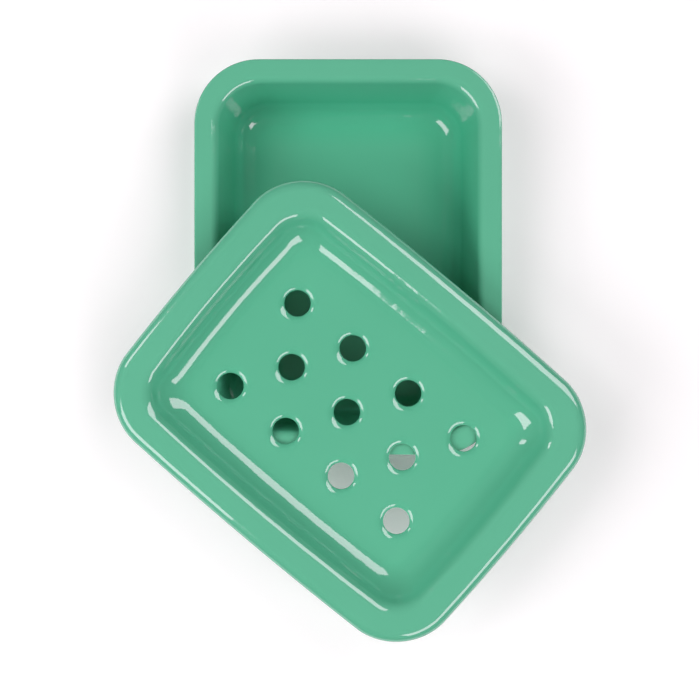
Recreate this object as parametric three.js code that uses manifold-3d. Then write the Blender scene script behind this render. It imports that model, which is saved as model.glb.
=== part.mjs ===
import * as THREE from "three";
import { mergeVertices } from "three/addons/utils/BufferGeometryUtils.js";
import Module from "manifold-3d";

// An enamelled steel soap dish: a deep tray, and a shallow drainer with drawn holes that lies across its rim.
// Millimetres and degrees, +Z up. The origin is the middle of the tray's flat underside, and the tray's
// length is along Y.

// Both dishes are pressed from one gauge of sheet, coating included. Each wall is straight over a part of its
// height below the rim's turn, then curves, and from the foot's slope it turns into the floor.
const SHEET = 1.2;
const FOOT_SLOPE = 29;

// Tray, measured over its outer edges
const TRAY_LENGTH = 135;
const TRAY_WIDTH = 105;
const TRAY_HEIGHT = 24;
const TRAY_CORNER = 22;
const TRAY_FLANGE = 5.4;
const TRAY_RIM_TURN = 3.1;
const TRAY_WALL_ANGLE = 73;
const TRAY_STRAIGHT_PART = 0.63;
const TRAY_FOOT_TURN = 7.5;
const TRAY_FLOOR_CORNER = 8;

// Drainer: its lip goes round the tray's edge and its pan goes down inside the tray's flat rim.
const LIP_CLEARANCE = 1.75;
const END_CLEARANCE = 1.95;
const PAN_CLEARANCE = 0.45;
const DRAINER_HEIGHT = 11;
const DRAINER_CORNER_TIGHTER_BY = 1.8;
const DRAINER_SIDE_BOW = 1.7;
const DRAINER_LIP_TURN = 4.5;
const DRAINER_LIP_SLOPE = 50;
const DRAINER_LIP_EDGE_TURN = 1.6;
const DRAINER_LIP_DROP = 4.2;
const DRAINER_RIM_TURN = 3.9;
const DRAINER_WALL_ANGLE = 63;
const DRAINER_STRAIGHT_PART = 0.12;
const DRAINER_FOOT_TURN = 8.1;
const DRAINER_FLOOR_CORNER = 6;

// Drain holes, in staggered rows that are set a little askew: the sheet is drawn down to each hole's edge.
const HOLE_DIAMETER = 8.5;
const HOLE_PITCH = 24.25;
const ROW_PITCH = 18.1;
const HOLES_ACROSS = -1.1;
const HOLES_ALONG = 0.4;
const HOLES_ASKEW = 1;
const DRAWN_DIAMETER = 14;
const DRAWN_TURN = 4;
const HOLE_TO_WALL = 2;

// The drainer lies turned across the tray, with its middle inside the tray's near edge so that it can't tip.
const SEAT_GAP = 0.3;
const DRAINER_TURN = 49.9;
const DRAINER_INSIDE_NEAR_EDGE = 15.2;
const DRAINER_SIDESTEP = 0.6;

// Facets
const CORNER_STEPS = 8;
const BOWED_SIDE_STEPS = 4;
const BEND_STEP = 12;
const HEM_STEPS = 6;
const HOLE_STEPS = 16;
const DRAWN_STEPS = 3;

// Keeps a cut's own face out of the plane of the face that it starts from.
const CUT_MARGIN = 0.02;

const ENAMEL_COLOUR = 0x62b995;
const ENAMEL_ROUGHNESS = 0.12;

const { sin, cos, tan, asin } = Math;
const { degToRad, radToDeg } = THREE.MathUtils;
const QUARTER = Math.PI / 2;

// Directions in a section, where x is the inset from the dish's outer edge and y is the height
const UP = QUARTER;
const OUTWARDS = 2 * QUARTER;
const DOWN = 3 * QUARTER;
const INWARDS = 4 * QUARTER;

const wasm = await Module();
wasm.setup();

// The closed plan outline of one level of a dish, anticlockwise: round corners, and sides that bow outwards.
// Width and length are taken at the middles of the sides.
function planOutline(width, length, corner, bow) {
  const halfX = width / 2 - bow;
  const halfY = length / 2 - bow;
  const path = new THREE.Path();
  const quadrants = [[1, 1], [-1, 1], [-1, -1], [1, -1]];
  quadrants.forEach(([sideX, sideY], i) => {
    const centreX = sideX * (halfX - corner);
    const centreY = sideY * (halfY - corner);
    path.absarc(centreX, centreY, corner, i * QUARTER, (i + 1) * QUARTER);
  });
  path.closePath();
  const sideSteps = bow > 0 ? BOWED_SIDE_STEPS : 1;
  const points = path.curves.flatMap((curve) => {
    const steps = curve.isLineCurve ? sideSteps : CORNER_STEPS;
    return curve.getPoints(steps).slice(0, -1);
  });
  return points.map(({ x, y }) => {
    const bowX = 1 + (bow / halfX) * (1 - (y / halfY) ** 2);
    const bowY = 1 + (bow / halfY) * (1 - (x / halfX) ** 2);
    return new THREE.Vector2(x * bowX, y * bowY);
  });
}

function sectionArc(x, y, radius, from, to, steps) {
  return new THREE.EllipseCurve(x, y, radius, radius, from, to, to < from).getPoints(steps);
}

// A bend of the sheet is an arc of its upper face, about a centre above or below it.
function upperFace({ x, y, radius, from, to }) {
  const steps = Math.ceil(radToDeg(Math.abs(to - from)) / BEND_STEP);
  return sectionArc(x, y, radius, from, to, steps);
}

function underside({ x, y, radius, from, to }) {
  const gauge = to < from ? SHEET : -SHEET;
  return upperFace({ x, y, radius: radius + gauge, from, to }).reverse();
}

// The bend that carries on smoothly from another one, at a radius of its own.
function carriedOn(bend, radius, to) {
  const x = bend.x + (bend.radius - radius) * cos(bend.to);
  const y = bend.y + (bend.radius - radius) * sin(bend.to);
  return { x, y, radius, from: bend.to, to };
}

// What follows from a wall's other sizes: its curve fills the height that is left.
function wallSizes({ height, flange, rimTurn, wallAngle, straightPart, footTurn }) {
  const wall = degToRad(wallAngle);
  const foot = degToRad(FOOT_SLOPE);
  const straight = straightPart * (height - SHEET);
  const turnsDrop = rimTurn * (1 - cos(wall)) + footTurn * (1 - cos(foot));
  const wallCurve = (height - SHEET - straight - turnsDrop) / (cos(foot) - cos(wall));
  const turnsAcross = rimTurn * sin(wall) + footTurn * sin(foot);
  const curveAcross = wallCurve * (sin(wall) - sin(foot));
  const floorInset = flange + turnsAcross + curveAcross + straight / tan(wall);
  return { wall, foot, wallCurve, floorInset };
}

// The section of a dish: up its inner face from the floor, round its outer edge, and back underneath.
function dishSection(dish) {
  const { wall, foot, wallCurve, floorInset } = wallSizes(dish);
  const { footTurn, rimTurn } = dish;
  const heel = { x: floorInset, y: SHEET + footTurn, radius: footTurn, from: DOWN, to: DOWN - foot };
  const curve = carriedOn(heel, wallCurve, DOWN - wall);
  const rim = { x: dish.flange, y: dish.height - rimTurn, radius: rimTurn, from: UP - wall, to: UP };
  const bends = [heel, curve, rim, ...dish.lip];
  const section = [
    ...bends.flatMap(upperFace),
    ...dish.hem,
    ...bends.toReversed().flatMap(underside),
  ];
  return section.filter((point, i) => i === 0 || point.distanceTo(section[i - 1]) > CUT_MARGIN);
}

// A pressed dish as one closed sheet: each point of its section runs round the dish as a ring. The flange
// keeps its width round the corners, and from there the outline narrows evenly to the floor's.
function pressedDish(dish) {
  const { width, length, corner, bow, flange } = dish;
  const inset = wallSizes(dish).floorInset;
  const edge = planOutline(width, length, corner, bow);
  const opening = planOutline(width - 2 * flange, length - 2 * flange, corner - flange, bow);
  const floor = planOutline(width - 2 * inset, length - 2 * inset, dish.floorCorner, bow);
  const around = edge.length;
  const section = dishSection(dish);

  const positions = [];
  for (const { x, y } of section) {
    for (let i = 0; i < around; i++) {
      const point =
        x < flange
          ? edge[i].clone().lerp(opening[i], x / flange)
          : opening[i].clone().lerp(floor[i], (x - flange) / (inset - flange));
      positions.push(point.x, point.y, y);
    }
  }
  const floorTop = section.length * around;
  const floorUnderside = floorTop + 1;
  positions.push(0, 0, SHEET, 0, 0, 0);

  const triangles = [];
  const lastRing = (section.length - 1) * around;
  for (let i = 0; i < around; i++) {
    const next = (i + 1) % around;
    triangles.push(floorTop, i, next);
    triangles.push(floorUnderside, lastRing + next, lastRing + i);
    for (let ring = 0; ring < lastRing; ring += around) {
      const outer = ring + around;
      triangles.push(ring + i, outer + i, outer + next);
      triangles.push(ring + i, outer + next, ring + next);
    }
  }
  return new THREE.BufferGeometry()
    .setAttribute("position", new THREE.Float32BufferAttribute(positions, 3))
    .setIndex(triangles);
}

function solidOf(geometry) {
  const bare = geometry.clone();
  bare.deleteAttribute("normal");
  bare.deleteAttribute("uv");
  const merged = mergeVertices(bare);
  return new wasm.Manifold(
    new wasm.Mesh({
      numProp: 3,
      vertProperties: merged.attributes.position.array,
      triVerts: new Uint32Array(merged.index.array),
    }),
  );
}

function geometryOf(solid) {
  const { vertProperties, triVerts } = solid.getMesh();
  return new THREE.BufferGeometry()
    .setAttribute("position", new THREE.BufferAttribute(vertProperties, 3))
    .setIndex(new THREE.BufferAttribute(triVerts, 1));
}

// A solid of revolution about Z from a profile of radius and height, closed along the axis.
function revolved(profile) {
  const first = new THREE.Vector2(0, profile.at(0).y);
  const last = new THREE.Vector2(0, profile.at(-1).y);
  return new THREE.LatheGeometry([first, ...profile, last], HOLE_STEPS).rotateX(QUARTER);
}

// One face of the drawn sheet, from the hole's edge up to where it leaves the floor.
const drawnAngle = asin((DRAWN_DIAMETER - HOLE_DIAMETER) / 2 / DRAWN_TURN);
function drawnFace(turn) {
  const centreY = SHEET - DRAWN_TURN + CUT_MARGIN;
  return sectionArc(DRAWN_DIAMETER / 2, centreY, turn, UP + drawnAngle, UP, DRAWN_STEPS);
}
const drawnUnderside = drawnFace(DRAWN_TURN - SHEET);
const drawnBelowFloor = -drawnUnderside[0].y;

// The drawn sheet's underside as a solid bump below the floor, before the hole is cut.
function drawnBump() {
  const insideFloor = new THREE.Vector2(DRAWN_DIAMETER / 2, SHEET / 2);
  return revolved([...drawnUnderside, insideFloor]);
}

// What is cut away: the hole, and the hollow that leads down into it.
function drawnHole() {
  const below = new THREE.Vector2(HOLE_DIAMETER / 2, -drawnBelowFloor - SHEET);
  const above = new THREE.Vector2(DRAWN_DIAMETER / 2, 2 * SHEET);
  return revolved([below, ...drawnFace(DRAWN_TURN), above]);
}

// Hole centres on the flat floor: full outer rows, and every second row one hole shorter, half a pitch along.
function holeCentres(dish) {
  const margin = DRAWN_DIAMETER / 2 + HOLE_TO_WALL;
  const inset = wallSizes(dish).floorInset + margin;
  const rows = 1 + Math.floor((dish.width - 2 * inset) / ROW_PITCH);
  const fullRow = 1 + Math.floor((dish.length - 2 * inset) / HOLE_PITCH);
  const middle = new THREE.Vector2(HOLES_ACROSS, HOLES_ALONG);
  const centres = [];
  for (let row = 0; row < rows; row++) {
    const count = fullRow - (row % 2);
    for (let hole = 0; hole < count; hole++) {
      const x = (row - (rows - 1) / 2) * ROW_PITCH;
      const y = (hole - (count - 1) / 2) * HOLE_PITCH;
      const square = new THREE.Vector2(x, y).add(middle);
      centres.push(square.rotateAround(middle, degToRad(HOLES_ASKEW)));
    }
  }
  return centres;
}

function perforated(dish) {
  const bump = drawnBump();
  const hole = drawnHole();
  const centres = holeCentres(dish);
  let solid = solidOf(pressedDish(dish));
  for (const { x, y } of centres) {
    solid = solid.add(solidOf(bump.clone().translate(x, y, 0)));
  }
  for (const { x, y } of centres) {
    solid = solid.subtract(solidOf(hole.clone().translate(x, y, 0)));
  }
  return geometryOf(solid);
}

function enamel() {
  return new THREE.MeshStandardMaterial({
    color: ENAMEL_COLOUR,
    roughness: ENAMEL_ROUGHNESS,
    metalness: 0,
  });
}

function dishMesh(name, geometry) {
  geometry.computeVertexNormals();
  const mesh = new THREE.Mesh(geometry, enamel());
  mesh.name = name;
  return mesh;
}

// The tray's rim runs flat to a rounded edge.
const trayDish = {
  width: TRAY_WIDTH,
  length: TRAY_LENGTH,
  height: TRAY_HEIGHT,
  corner: TRAY_CORNER,
  bow: 0,
  flange: TRAY_FLANGE,
  rimTurn: TRAY_RIM_TURN,
  wallAngle: TRAY_WALL_ANGLE,
  straightPart: TRAY_STRAIGHT_PART,
  footTurn: TRAY_FOOT_TURN,
  floorCorner: TRAY_FLOOR_CORNER,
  lip: [],
  hem: sectionArc(SHEET / 2, TRAY_HEIGHT - SHEET / 2, SHEET / 2, UP, DOWN, HEM_STEPS),
};
const tray = dishMesh("tray", pressedDish(trayDish));

// The drainer's rim turns gently down into a lip, more tightly at its edge, with a rounded hem.
const lipSlope = degToRad(DRAINER_LIP_SLOPE);
const lipTurn = {
  x: DRAINER_LIP_EDGE_TURN + (DRAINER_LIP_TURN - DRAINER_LIP_EDGE_TURN) * sin(lipSlope),
  y: DRAINER_HEIGHT - DRAINER_LIP_TURN,
  radius: DRAINER_LIP_TURN,
  from: UP,
  to: UP + lipSlope,
};
const hemY = DRAINER_HEIGHT - DRAINER_LIP_DROP + SHEET / 2;
const sideOverhang = SHEET + LIP_CLEARANCE;
const endOverhang = SHEET + END_CLEARANCE;
const drainerDish = {
  width: TRAY_WIDTH + 2 * sideOverhang,
  length: TRAY_LENGTH + 2 * endOverhang,
  height: DRAINER_HEIGHT,
  corner: TRAY_CORNER - DRAINER_CORNER_TIGHTER_BY,
  bow: DRAINER_SIDE_BOW,
  flange: sideOverhang + TRAY_FLANGE + PAN_CLEARANCE,
  rimTurn: DRAINER_RIM_TURN,
  wallAngle: DRAINER_WALL_ANGLE,
  straightPart: DRAINER_STRAIGHT_PART,
  footTurn: DRAINER_FOOT_TURN,
  floorCorner: DRAINER_FLOOR_CORNER,
  lip: [lipTurn, carriedOn(lipTurn, DRAINER_LIP_EDGE_TURN, OUTWARDS)],
  hem: sectionArc(SHEET / 2, hemY, SHEET / 2, OUTWARDS, INWARDS, HEM_STEPS),
};
const drainer = dishMesh("drainer", perforated(drainerDish));
drainer.rotation.z = degToRad(DRAINER_TURN);
drainer.position.set(
  DRAINER_SIDESTEP,
  DRAINER_INSIDE_NEAR_EDGE - TRAY_LENGTH / 2,
  TRAY_HEIGHT + SEAT_GAP + drawnBelowFloor,
);

const soapDish = new THREE.Group();
soapDish.add(tray, drainer);

export default soapDish;
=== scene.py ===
from collections import namedtuple
from math import asin, cos, pi, radians, sin, tan

import bmesh
import bpy
from mathutils import Matrix, Vector


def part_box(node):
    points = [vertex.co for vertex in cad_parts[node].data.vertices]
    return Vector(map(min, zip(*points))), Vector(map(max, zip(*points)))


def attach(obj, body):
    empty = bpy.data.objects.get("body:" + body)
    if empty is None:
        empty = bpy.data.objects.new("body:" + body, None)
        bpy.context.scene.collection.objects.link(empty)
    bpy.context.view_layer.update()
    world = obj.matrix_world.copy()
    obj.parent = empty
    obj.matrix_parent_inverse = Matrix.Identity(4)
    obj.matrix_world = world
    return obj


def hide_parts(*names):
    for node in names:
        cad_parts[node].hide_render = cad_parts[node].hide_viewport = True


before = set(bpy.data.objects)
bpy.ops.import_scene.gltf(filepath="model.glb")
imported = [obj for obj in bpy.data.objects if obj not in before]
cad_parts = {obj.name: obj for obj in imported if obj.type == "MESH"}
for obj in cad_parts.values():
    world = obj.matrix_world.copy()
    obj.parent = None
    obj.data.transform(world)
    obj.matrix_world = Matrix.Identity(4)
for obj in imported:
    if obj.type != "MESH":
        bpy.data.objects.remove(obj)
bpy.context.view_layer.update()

# Sizes in metres, angles in radians
MM = 0.001
SHEET = 1.2 * MM
FOOT_SLOPE = radians(29)
tray_low, tray_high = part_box("tray")
drainer_low, drainer_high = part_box("drainer")

# Drainer
LIP_CLEARANCE = 1.75 * MM
END_CLEARANCE = 1.95 * MM
PAN_CLEARANCE = 0.45 * MM
LIP_TURN = 4.5 * MM
LIP_SLOPE = radians(50)
LIP_EDGE_TURN = 1.6 * MM
LIP_DROP = 4.2 * MM
DRAINER_HEIGHT = 11 * MM
DRAINER_TURN = radians(49.9)

# Drain holes, each drawn down to its edge
HOLE_RADIUS = 4.25 * MM
HOLE_PITCH = 24.25 * MM
ROW_PITCH = 18.1 * MM
HOLES_MIDDLE = Vector((-1.1, 0.4)) * MM
HOLES_ASKEW = radians(1)
HOLES_IN_ROWS = (4, 3, 4)
DRAWN_RADIUS = 7 * MM
DRAWN_TURN = 4 * MM

# Fineness of the mesh, and the flat strips that keep its shading clean beside a turn or an edge
CORNER_STEPS = 24
SIDE_STEPS = 10
TURN_STEPS = 18
HOLE_STEPS = 64
DRAWN_STEPS = 9
FLAT_MARGIN = 0.6 * MM
EDGE_MARGIN = 1.2 * MM

# Rounding of the sheet's edges
EDGE_ROUNDING = 0.54 * MM
ROUNDING_STEPS = 5
SHARP_ANGLE = radians(55)

# Painted shade: the colour grows deeper down in a dish, on its walls and most of all round its foot, where
# the shade falls
PAINTED_SHADE_DEPTH = 60 * MM
FOOT_SHADE_DEPTH = 42 * MM
FOOT_SHADE_WIDTH = 7 * MM
WALL_SHADE = 0.8

# Enamel
GREEN = (0.119, 0.463, 0.294, 1)
LIGHT_GREEN = (0.135, 0.493, 0.318, 1)
# The deeper green of the painted shade
SHADED_GREEN = (0.066, 0.463, 0.274, 1)
LEAST_ROUGHNESS = 0.05
ROUGHNESS_SPREAD = 0.03
GLASS_IOR = 1.6
GLOSS_TINT = (1, 0.76, 0.91, 1)
WAVE_DEPTH = 0.12 * MM
PEEL_DEPTH = 0.014 * MM
LINE_DEPTH = 0.018 * MM
LINE_SCALE = (14, 14, 1300)

# Table, whose glow grows from the near distance to the far one, and studio
WHITE = (1, 1, 1, 1)
PAPER = (0.89, 0.845, 0.868, 1)
TABLE_REACH = 3
TABLE_GLOW = 0.18
ADDED_FAR_GLOW = 0.8
NEAR_DISTANCE = 0.3
FAR_DISTANCE = 1.0
STUDIO_LIGHT = 0.04
FILL_SIZE = (0.5, 0.4)

# A Mix node's colours, which share their names with its other sockets
FIRST_COLOUR = 6
SECOND_COLOUR = 7
MIXED_COLOUR = 2

# Directions in a section: the first number is the inset from the outer edge and the second the height
UP = pi / 2
OUTWARDS = pi
DOWN = 3 * pi / 2

Dish = namedtuple(
    "Dish",
    "width length height corner bow flange rim_turn wall straight_part foot_turn floor_corner edge",
)
Bend = namedtuple("Bend", "inset height radius start end")


def points_along(bend, steps=TURN_STEPS):
    points = []
    for step in range(steps + 1):
        angle = bend.start + (bend.end - bend.start) * step / steps
        points.append((bend.inset + bend.radius * cos(angle), bend.height + bend.radius * sin(angle)))
    return points


# The bend that carries on smoothly from another one, at a radius of its own
def carried_on(bend, radius, end):
    shift = bend.radius - radius
    inset = bend.inset + shift * cos(bend.end)
    height = bend.height + shift * sin(bend.end)
    return Bend(inset, height, radius, bend.end, end)


# The radius of a wall's curve, which fills the height left, and how far inside the edge the floor starts
def wall_sizes(dish):
    wall, foot = dish.wall, FOOT_SLOPE
    straight = dish.straight_part * (dish.height - SHEET)
    turns_drop = dish.rim_turn * (1 - cos(wall)) + dish.foot_turn * (1 - cos(foot))
    wall_curve = (dish.height - SHEET - straight - turns_drop) / (cos(foot) - cos(wall))
    turns_across = dish.rim_turn * sin(wall) + dish.foot_turn * sin(foot)
    curve_across = wall_curve * (sin(wall) - sin(foot))
    return wall_curve, dish.flange + turns_across + curve_across + straight / tan(wall)


# A dish's upper face in section, from the floor out to the edge
def inner_section(dish):
    wall_curve, inset = wall_sizes(dish)
    heel = Bend(inset, SHEET + dish.foot_turn, dish.foot_turn, DOWN, DOWN - FOOT_SLOPE)
    curve = carried_on(heel, wall_curve, DOWN - dish.wall)
    rim = Bend(dish.flange, dish.height - dish.rim_turn, dish.rim_turn, UP - dish.wall, UP)
    floor_start = (inset + FLAT_MARGIN, SHEET)
    return [floor_start, *points_along(heel), *points_along(curve)[1:], *points_along(rim), *dish.edge]


# Points in order round one level of a dish: a rectangle with round corners and sides that bow outwards
def level_outline(width, length, corner, bow):
    half_x = width / 2 - bow
    half_y = length / 2 - bow
    bm = bmesh.new()
    bmesh.ops.create_grid(bm, x_segments=1, y_segments=1, size=1)
    bmesh.ops.scale(bm, vec=(half_x, half_y, 1), verts=bm.verts)
    bmesh.ops.bevel(
        bm,
        geom=bm.verts[:],
        offset=corner,
        segments=CORNER_STEPS,
        profile=0.5,
        affect="VERTICES",
        material=-1,
    )
    points = [loop.vert.co.copy() for loop in bm.faces[:][0].loops]
    bm.free()
    outline = []
    for point, following in zip(points, points[1:] + points[:1]):
        is_side = (following - point).length > corner
        steps = SIDE_STEPS if is_side else 1
        outline += [point.lerp(following, step / steps) for step in range(steps)]
    for point in outline:
        bow_x = 1 + bow / half_x * (1 - (point.y / half_y) ** 2)
        bow_y = 1 + bow / half_y * (1 - (point.x / half_x) ** 2)
        point.xy = point.x * bow_x, point.y * bow_y
    return outline


def ring_edges(bm, ring):
    return [bm.edges.get(pair) for pair in zip(ring, ring[1:] + ring[:1])]


# Extrudes a closed ring of edges and gives its new points in the same order
def grown_ring(bm, ring):
    made = bmesh.ops.extrude_edge_only(bm, edges=ring_edges(bm, ring))["geom"]
    new_points = {part for part in made if isinstance(part, bmesh.types.BMVert)}
    grown = []
    for vert in ring:
        neighbours = [edge.other_vert(vert) for edge in vert.link_edges]
        grown.append(next(other for other in neighbours if other in new_points))
    return grown


# Runs the section round the dish as rings, from the floor out to the edge, and gives the floor's ring
def pressed_walls(bm, dish):
    # The layer of painted shade is made before any point is kept, because a layer made later would leave
    # the kept points stale
    bm.verts.layers.float.new("painted_shade")
    _, inset = wall_sizes(dish)
    flange = dish.flange
    width, length, bow = dish.width, dish.length, dish.bow
    edge = level_outline(width, length, dish.corner, bow)
    opening = level_outline(width - 2 * flange, length - 2 * flange, dish.corner - flange, bow)
    floor = level_outline(width - 2 * inset, length - 2 * inset, dish.floor_corner, bow)
    ring = bmesh.ops.create_circle(bm, segments=len(edge))["verts"]
    floor_ring = ring
    for step, (distance, height) in enumerate(inner_section(dish)):
        if step > 0:
            ring = grown_ring(bm, ring)
        for i, vert in enumerate(ring):
            if distance < flange:
                point = edge[i].lerp(opening[i], distance / flange)
            else:
                point = opening[i].lerp(floor[i], (distance - flange) / (inset - flange))
            vert.co = point.x, point.y, height
    return floor_ring


# Draws the sheet down round one hole, and gives the ring where it leaves the floor
def drawn_hole(bm, x, y):
    place = Matrix.Translation((x, y, SHEET))
    mouth_radius = DRAWN_RADIUS + FLAT_MARGIN
    mouth = bmesh.ops.create_circle(bm, segments=HOLE_STEPS, radius=mouth_radius, matrix=place)["verts"]
    drawn_angle = asin((DRAWN_RADIUS - HOLE_RADIUS) / DRAWN_TURN)
    drawn = Bend(DRAWN_RADIUS, -DRAWN_TURN, DRAWN_TURN, UP, UP + drawn_angle)
    section = points_along(drawn, DRAWN_STEPS)
    # The last but one ring goes, to leave room for the rounded edge
    del section[-2]
    ring, radius, height = mouth, mouth_radius, 0
    for new_radius, new_height in section:
        ring = grown_ring(bm, ring)
        narrowing = new_radius / radius
        bmesh.ops.scale(bm, vec=(narrowing, narrowing, 1), space=place.inverted(), verts=ring)
        bmesh.ops.translate(bm, vec=(0, 0, new_height - height), verts=ring)
        radius, height = new_radius, new_height
    return mouth


def hole_centres():
    centres = []
    for row, count in enumerate(HOLES_IN_ROWS):
        for hole in range(count):
            x = (row - (len(HOLES_IN_ROWS) - 1) / 2) * ROW_PITCH
            y = (hole - (count - 1) / 2) * HOLE_PITCH
            centres.append(HOLES_MIDDLE + Matrix.Rotation(HOLES_ASKEW, 2) @ Vector((x, y)))
    return centres


def turn_face_up(bm):
    bmesh.ops.recalc_face_normals(bm, faces=bm.faces)
    floor_face = max(bm.faces, key=lambda face: face.calc_area())
    floor_face.normal_update()
    if floor_face.normal.z < 0:
        bmesh.ops.reverse_faces(bm, faces=bm.faces)


# Stores how much painted shade each point gets: more with depth, on steep walls and most round the foot
def paint_shade(bm, open_floor):
    bm.normal_update()
    top = max(vert.co.z for vert in bm.verts)
    painted_shade = bm.verts.layers.float["painted_shade"]
    for vert in bm.verts:
        depth = top - vert.co.z
        vert[painted_shade] = depth / PAINTED_SHADE_DEPTH + WALL_SHADE * (1 - vert.normal.z)
        if vert not in open_floor:
            vert[painted_shade] += (depth / FOOT_SHADE_DEPTH) ** 2


def new_object(name, bm, material):
    mesh = bpy.data.meshes.new(name)
    bm.to_mesh(mesh)
    bm.free()
    mesh.materials.append(material)
    made = bpy.data.objects.new(name, mesh)
    bpy.context.collection.objects.link(made)
    return made


# Makes a piece of a dish's bare upper face, with the sheet's thickness, round edges and painted shade
def enamelled_piece(name, bm, place, open_floor, node, enamel):
    turn_face_up(bm)
    bmesh.ops.transform(bm, matrix=place, verts=bm.verts)
    paint_shade(bm, open_floor)
    piece = new_object(name, bm, enamel)
    piece.data.shade_smooth()
    sheet = piece.modifiers.new("sheet", "SOLIDIFY")
    sheet.thickness = SHEET
    sheet.offset = -1
    sheet.use_even_offset = True
    rounding = piece.modifiers.new("rounded edges", "BEVEL")
    rounding.width = EDGE_ROUNDING
    rounding.segments = ROUNDING_STEPS
    rounding.limit_method = "ANGLE"
    rounding.angle_limit = SHARP_ANGLE
    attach(piece, node)
    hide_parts(node)


# Shader sockets as Python values
class Wire:
    def __init__(self, socket):
        self.socket = socket

    def math(self, operation, other):
        finish = Finish(self.socket.id_data)
        return finish.node("ShaderNodeMath", {"operation": operation}, {0: self, 1: other})

    def __add__(self, other):
        return self.math("ADD", other)

    def __mul__(self, other):
        return self.math("MULTIPLY", other)

    __radd__ = __add__
    __rmul__ = __mul__


class Finish:
    def __init__(self, tree):
        self.tree = tree

    def node(self, kind, settings=None, inputs=None, output=0):
        node = self.tree.nodes.new(kind)
        for name, value in (settings or {}).items():
            setattr(node, name, value)
        for name, value in (inputs or {}).items():
            if isinstance(value, Wire):
                self.tree.links.new(value.socket, node.inputs[name])
            else:
                node.inputs[name].default_value = value
        return Wire(node.outputs[output]) if node.outputs else node


# Gives a material or a world an empty set of nodes
def new_finish(owner):
    owner.use_nodes = True
    owner.node_tree.nodes.clear()
    return Finish(owner.node_tree)


# Glass enamel: a slightly uneven colour, with painted shade deeper in the dish, under a hard gloss with
# waves, orange peel and drawing lines
def glossy_enamel(name, turn):
    material = bpy.data.materials.new(name)
    finish = new_finish(material)
    places = finish.node("ShaderNodeTexCoord", output="Object")
    turning = {"Vector": places, "Rotation": (0, 0, turn)}
    turned = finish.node("ShaderNodeMapping", {"vector_type": "TEXTURE"}, turning)
    along_rim = finish.node("ShaderNodeMapping", inputs={"Vector": turned, "Scale": LINE_SCALE})

    def noise(scale, detail=2.0, vector=turned):
        inputs = {"Vector": vector, "Scale": scale, "Detail": detail}
        return finish.node("ShaderNodeTexNoise", inputs=inputs)

    def bumped(height, depth, normal=None):
        inputs = {"Height": height, "Distance": depth, "Strength": 1.0}
        if normal:
            inputs["Normal"] = normal
        return finish.node("ShaderNodeBump", inputs=inputs)

    def mixed(factor, first, second):
        inputs = {"Factor": factor, FIRST_COLOUR: first, SECOND_COLOUR: second}
        return finish.node("ShaderNodeMix", {"data_type": "RGBA"}, inputs, MIXED_COLOUR)

    # Painted shade stored on the mesh deepens the colour down in the dish, on its walls and round its foot
    painted_shade = finish.node("ShaderNodeAttribute", {"attribute_name": "painted_shade"}, output="Fac")
    uneven_green = mixed(noise(scale=26.0, detail=3.0), GREEN, LIGHT_GREEN)
    waves = bumped(noise(scale=85.0), WAVE_DEPTH)
    peel = bumped(noise(scale=420.0), PEEL_DEPTH, waves)
    drawing_lines = bumped(noise(scale=1.0, detail=3.0, vector=along_rim), LINE_DEPTH, peel)
    gloss = {
        "Base Color": mixed(painted_shade, uneven_green, SHADED_GREEN),
        "Roughness": LEAST_ROUGHNESS + ROUGHNESS_SPREAD * noise(scale=60.0),
        "Normal": drawing_lines,
        "IOR": GLASS_IOR,
        "Specular IOR Level": 1.0,
        "Specular Tint": GLOSS_TINT,
    }
    shader = finish.node("ShaderNodeBsdfPrincipled", inputs=gloss)
    finish.node("ShaderNodeOutputMaterial", inputs={"Surface": shader})
    return material


# A lamp placed in metres and turned in degrees: the side it stands on, its tilt and its roll from level
def softbox(name, place, turns, size, radiance, is_fill=False):
    azimuth, tilt, roll = turns
    width, height = size
    light = bpy.data.lights.new(name, "AREA")
    light.shape = "RECTANGLE"
    light.size = width
    light.size_y = height
    light.energy = radiance * pi * width * height
    lamp = bpy.data.objects.new(name, light)
    turn = Matrix.Rotation(radians(azimuth), 4, "Z") @ Matrix.Rotation(radians(tilt), 4, "Y")
    lamp.matrix_world = Matrix.Translation(place) @ turn @ Matrix.Rotation(radians(90 + roll), 4, "Z")
    lamp.visible_camera = False
    # A fill lights the dish but isn't seen in its gloss
    lamp.visible_glossy = not is_fill
    bpy.context.collection.objects.link(lamp)


# Tray
tray = Dish(
    width=tray_high.x - tray_low.x,
    length=tray_high.y - tray_low.y,
    height=tray_high.z - tray_low.z,
    corner=22 * MM,
    bow=0,
    flange=5.4 * MM,
    rim_turn=3.1 * MM,
    wall=radians(73),
    straight_part=0.63,
    foot_turn=7.5 * MM,
    floor_corner=8 * MM,
    edge=[(EDGE_MARGIN, tray_high.z), (0, tray_high.z)],
)
bm = bmesh.new()
floor_ring = pressed_walls(bm, tray)
floor_faces = bmesh.ops.contextual_create(bm, geom=ring_edges(bm, floor_ring))["faces"]
# A band round the tray's floor gets painted shade at the foot; the open floor inside it gets none
bmesh.ops.inset_region(bm, faces=floor_faces, thickness=FOOT_SHADE_WIDTH)
open_floor = set(floor_faces[0].verts)
enamel = glossy_enamel("tray enamel", 0)
enamelled_piece("tray_shell", bm, Matrix(), open_floor, "tray", enamel)

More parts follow.
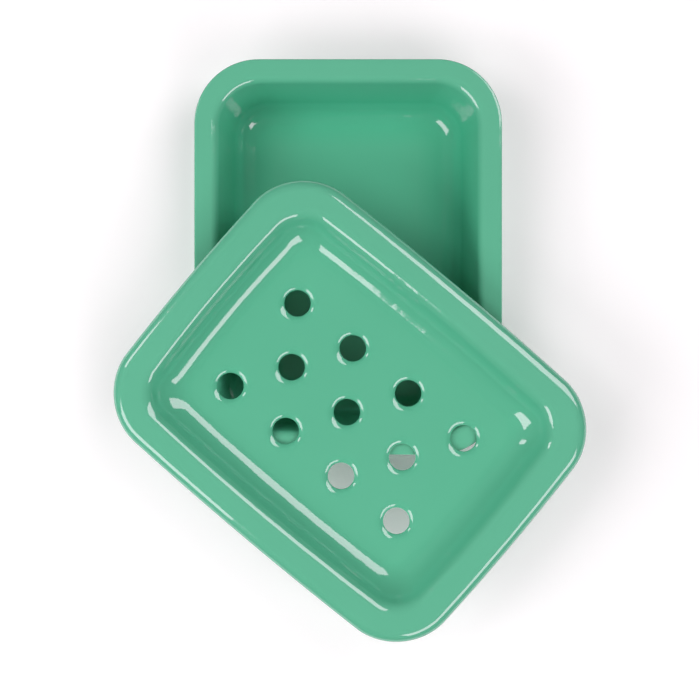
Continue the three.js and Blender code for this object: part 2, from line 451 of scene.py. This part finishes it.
# Drainer
lip_inset = LIP_EDGE_TURN + (LIP_TURN - LIP_EDGE_TURN) * sin(LIP_SLOPE)
lip = Bend(lip_inset, DRAINER_HEIGHT - LIP_TURN, LIP_TURN, UP, UP + LIP_SLOPE)
lip_edge = carried_on(lip, LIP_EDGE_TURN, OUTWARDS)
side_overhang = SHEET + LIP_CLEARANCE
end_overhang = SHEET + END_CLEARANCE
drainer = Dish(
    width=tray.width + 2 * side_overhang,
    length=tray.length + 2 * end_overhang,
    height=DRAINER_HEIGHT,
    corner=20.2 * MM,
    bow=1.7 * MM,
    flange=side_overhang + tray.flange + PAN_CLEARANCE,
    rim_turn=3.9 * MM,
    wall=radians(63),
    straight_part=0.12,
    foot_turn=8.1 * MM,
    floor_corner=6 * MM,
    edge=[*points_along(lip), *points_along(lip_edge)[1:], (0, DRAINER_HEIGHT - LIP_DROP)],
)
bm = bmesh.new()
floor_rings = [pressed_walls(bm, drainer)]
for x, y in hole_centres():
    floor_rings.append(drawn_hole(bm, x, y))
floor_edges = [edge for ring in floor_rings for edge in ring_edges(bm, ring)]
bmesh.ops.triangle_fill(bm, use_beauty=True, edges=floor_edges, normal=(0, 0, 1))
open_floor = {vert for ring in floor_rings for vert in ring}
middle = (drainer_low + drainer_high) / 2
underside = Matrix.Translation((middle.x, middle.y, drainer_high.z - DRAINER_HEIGHT))
place = underside @ Matrix.Rotation(DRAINER_TURN, 4, "Z")
enamel = glossy_enamel("drainer enamel", DRAINER_TURN)
enamelled_piece("drainer_shell", bm, place, open_floor, "drainer", enamel)

# White table, which glows to the camera and in the gloss
paper = bpy.data.materials.new("white table")
finish = new_finish(paper)
seen = finish.node("ShaderNodeLightPath", output="Is Camera Ray")
for ray in ("Is Glossy Ray", "Is Transmission Ray"):
    seen = seen + finish.node("ShaderNodeLightPath", output=ray)
places = finish.node("ShaderNodeTexCoord", output="Object")
distance = finish.node("ShaderNodeVectorMath", {"operation": "LENGTH"}, {0: places}, output="Value")
reach = {"Value": distance, "From Min": NEAR_DISTANCE, "From Max": FAR_DISTANCE}
is_far = finish.node("ShaderNodeMapRange", inputs=reach)
matt = finish.node("ShaderNodeBsdfDiffuse", inputs={"Color": PAPER})
brightness = TABLE_GLOW + ADDED_FAR_GLOW * is_far
glow = finish.node("ShaderNodeEmission", inputs={"Color": seen * brightness})
both = finish.node("ShaderNodeAddShader", inputs={0: matt, 1: glow})
finish.node("ShaderNodeOutputMaterial", inputs={"Surface": both})
bm = bmesh.new()
bmesh.ops.create_grid(bm, x_segments=1, y_segments=1, size=TABLE_REACH)
floor = new_object("floor", bm, paper)

# Studio, white to the camera and dim otherwise
scene = bpy.context.scene
scene.world = bpy.data.worlds.new("studio")
finish = new_finish(scene.world)
seen = finish.node("ShaderNodeLightPath", output="Is Camera Ray")
strength = STUDIO_LIGHT + (1 - STUDIO_LIGHT) * seen
sky = finish.node("ShaderNodeBackground", inputs={"Color": WHITE, "Strength": strength})
finish.node("ShaderNodeOutputWorld", inputs={"Surface": sky})

# Lamps, two of them in one place
far_right = (0.484, 0.356, 0.804), (-3.2, 51.7, 0), (0.419, 0.877)
softbox("far right", *far_right, radiance=3.4)
softbox("near right", (0.334, -0.47, 0.48), (308.5, 50, 0), (0.62, 0.225), radiance=3.65)
softbox("near left", (-0.625, -0.415, 0.682), (210.3, 48, 11.5), (0.512, 0.43), radiance=3.8)
softbox("left", (-0.602, 0.257, 0.624), (153, 48.7, 0), (0.166, 0.25), radiance=4.0)
softbox("far right fill", *far_right, radiance=0.7, is_fill=True)
softbox("low left fill", (-0.866, -0.05, 0.53), (180, 60, 0), FILL_SIZE, radiance=4.0, is_fill=True)
softbox("low near left fill", (-0.612, -0.662, 0.53), (225, 60, 0), FILL_SIZE, radiance=0.4, is_fill=True)
softbox("high far left fill", (-0.453, 0.161, 0.896), (155, 30, 0), FILL_SIZE, radiance=3.2, is_fill=True)
softbox("high near right fill", (0.354, -0.404, 0.896), (315, 30, 0), FILL_SIZE, radiance=2.3, is_fill=True)

# Camera
camera = bpy.data.objects.new("camera", bpy.data.cameras.new("camera"))
camera.data.lens = 108.7
camera.data.sensor_width = 36
camera.location = (0.63 * MM, -31.75 * MM, 744.5 * MM)
bpy.context.collection.objects.link(camera)
scene.camera = camera
scene.view_settings.view_transform = "Standard"
